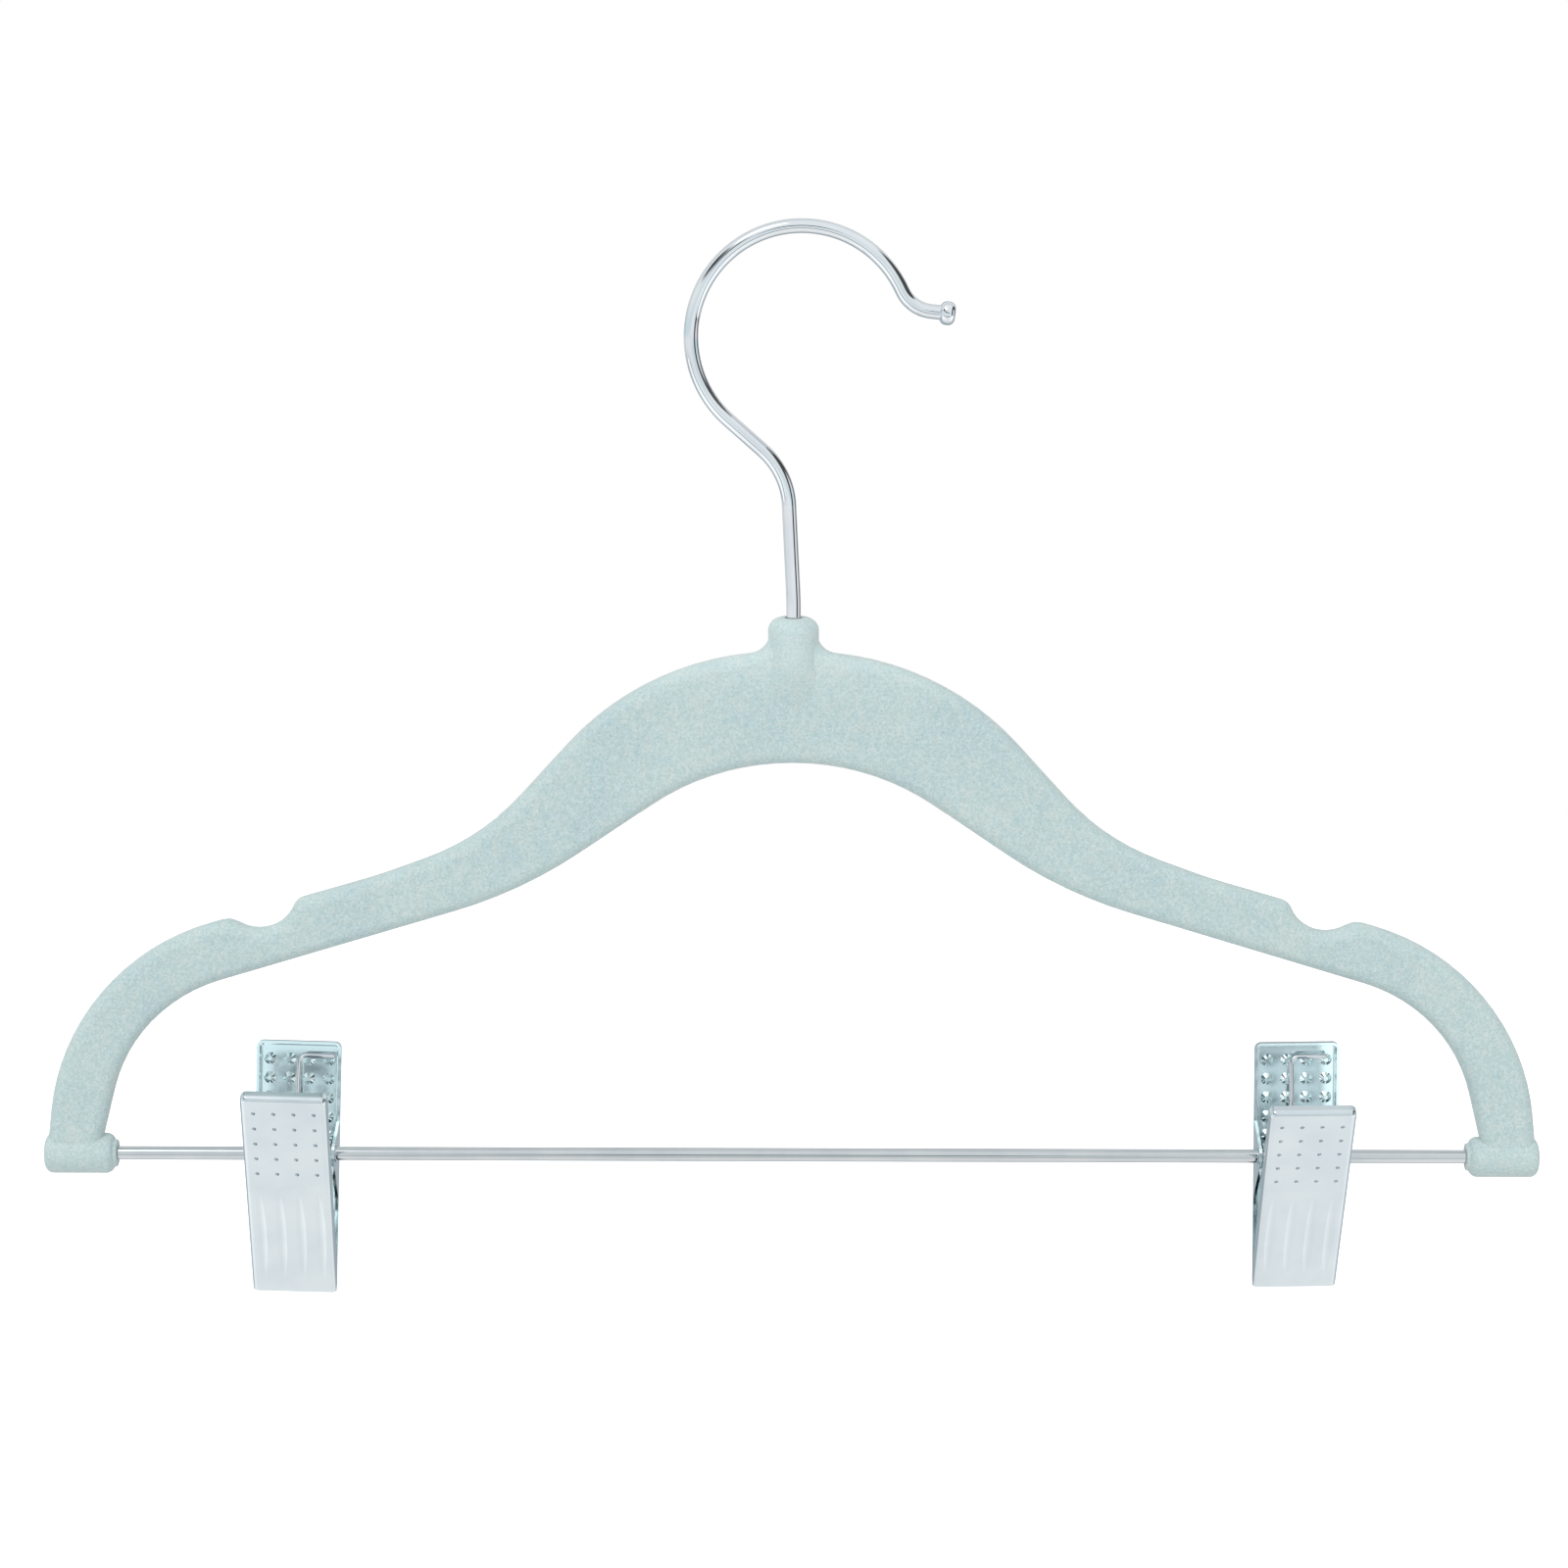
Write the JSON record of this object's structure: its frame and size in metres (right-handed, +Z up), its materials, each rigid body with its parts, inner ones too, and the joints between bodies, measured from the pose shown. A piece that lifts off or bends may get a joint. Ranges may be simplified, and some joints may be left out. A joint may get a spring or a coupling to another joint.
{
  "type": "skirt hanger",
  "caption": "Flocked skirt hanger with a swivelling wire hook, strap notches, a steel bar between its feet and sprung metal clips that slide and turn on the bar.",
  "frame": {"origin": "on the inside of the hook, where it rests on a rail, right above the swivel axis", "axes": "+X along the bar, towards the side that the hook opens to; -Y is the front, the side the clips' upper tails lean to; +Z up"},
  "size_m": [0.356, 0.0349, 0.2581],
  "materials": {
    "hook_wire": "polished nickel-chrome plate",
    "flock": "short pale mint flock over a moulded core",
    "bar_steel": "polished nickel-chrome plate",
    "clip_plate": "bright zinc plate on pressed sheet steel",
    "spring_steel": "bright drawn spring wire"
  },
  "bodies": {
    "root": {"hook": "hook_wire"},
    "hanger": {"hanger_body": "flock", "clip_bar": "bar_steel"},
    "left_slider": {"left_clip_spring": "spring_steel"},
    "left_back": {"left_clip_back_plate": "clip_plate"},
    "left_front": {"left_clip_front_plate": "clip_plate"},
    "right_slider": {"right_clip_spring": "spring_steel"},
    "right_back": {"right_clip_back_plate": "clip_plate"},
    "right_front": {"right_clip_front_plate": "clip_plate"}
  },
  "joints": [
    {"name": "hook_swivel", "type": "hinge", "parent": "root", "child": "hanger", "pos_m": [0, 0, -0.0881], "axis": [0, 0, 1], "continuous": true},
    {"name": "left_clip_slide", "type": "slide", "parent": "hanger", "child": "left_slider", "axis": [1, 0, 0], "range_m": [-0.012, 0.107]},
    {"name": "left_clip_swing", "type": "hinge", "parent": "left_slider", "child": "left_back", "pos_m": [-0.11907, 0, -0.218], "axis": [1, 0, 0], "continuous": true, "deforming": ["left_clip_spring"]},
    {"name": "left_clip_open", "type": "hinge", "parent": "left_back", "child": "left_front", "pos_m": [-0.11907, 0, -0.218], "axis": [-1, 0, 0], "range_deg": [0, 28], "stiffness_Nm_per_rad": 0.4, "springref_deg": -42.97, "deforming": ["left_clip_spring"]},
    {"name": "right_clip_slide", "type": "slide", "parent": "hanger", "child": "right_slider", "axis": [-1, 0, 0], "range_m": [-0.0097, 0.1093]},
    {"name": "right_clip_swing", "type": "hinge", "parent": "right_slider", "child": "right_back", "pos_m": [0.12148, 0, -0.218], "axis": [1, 0, 0], "continuous": true, "deforming": ["right_clip_spring"]},
    {"name": "right_clip_open", "type": "hinge", "parent": "right_back", "child": "right_front", "pos_m": [0.12148, 0, -0.218], "axis": [-1, 0, 0], "range_deg": [0, 28], "stiffness_Nm_per_rad": 0.4, "springref_deg": -42.97, "deforming": ["right_clip_spring"]}
  ]
}
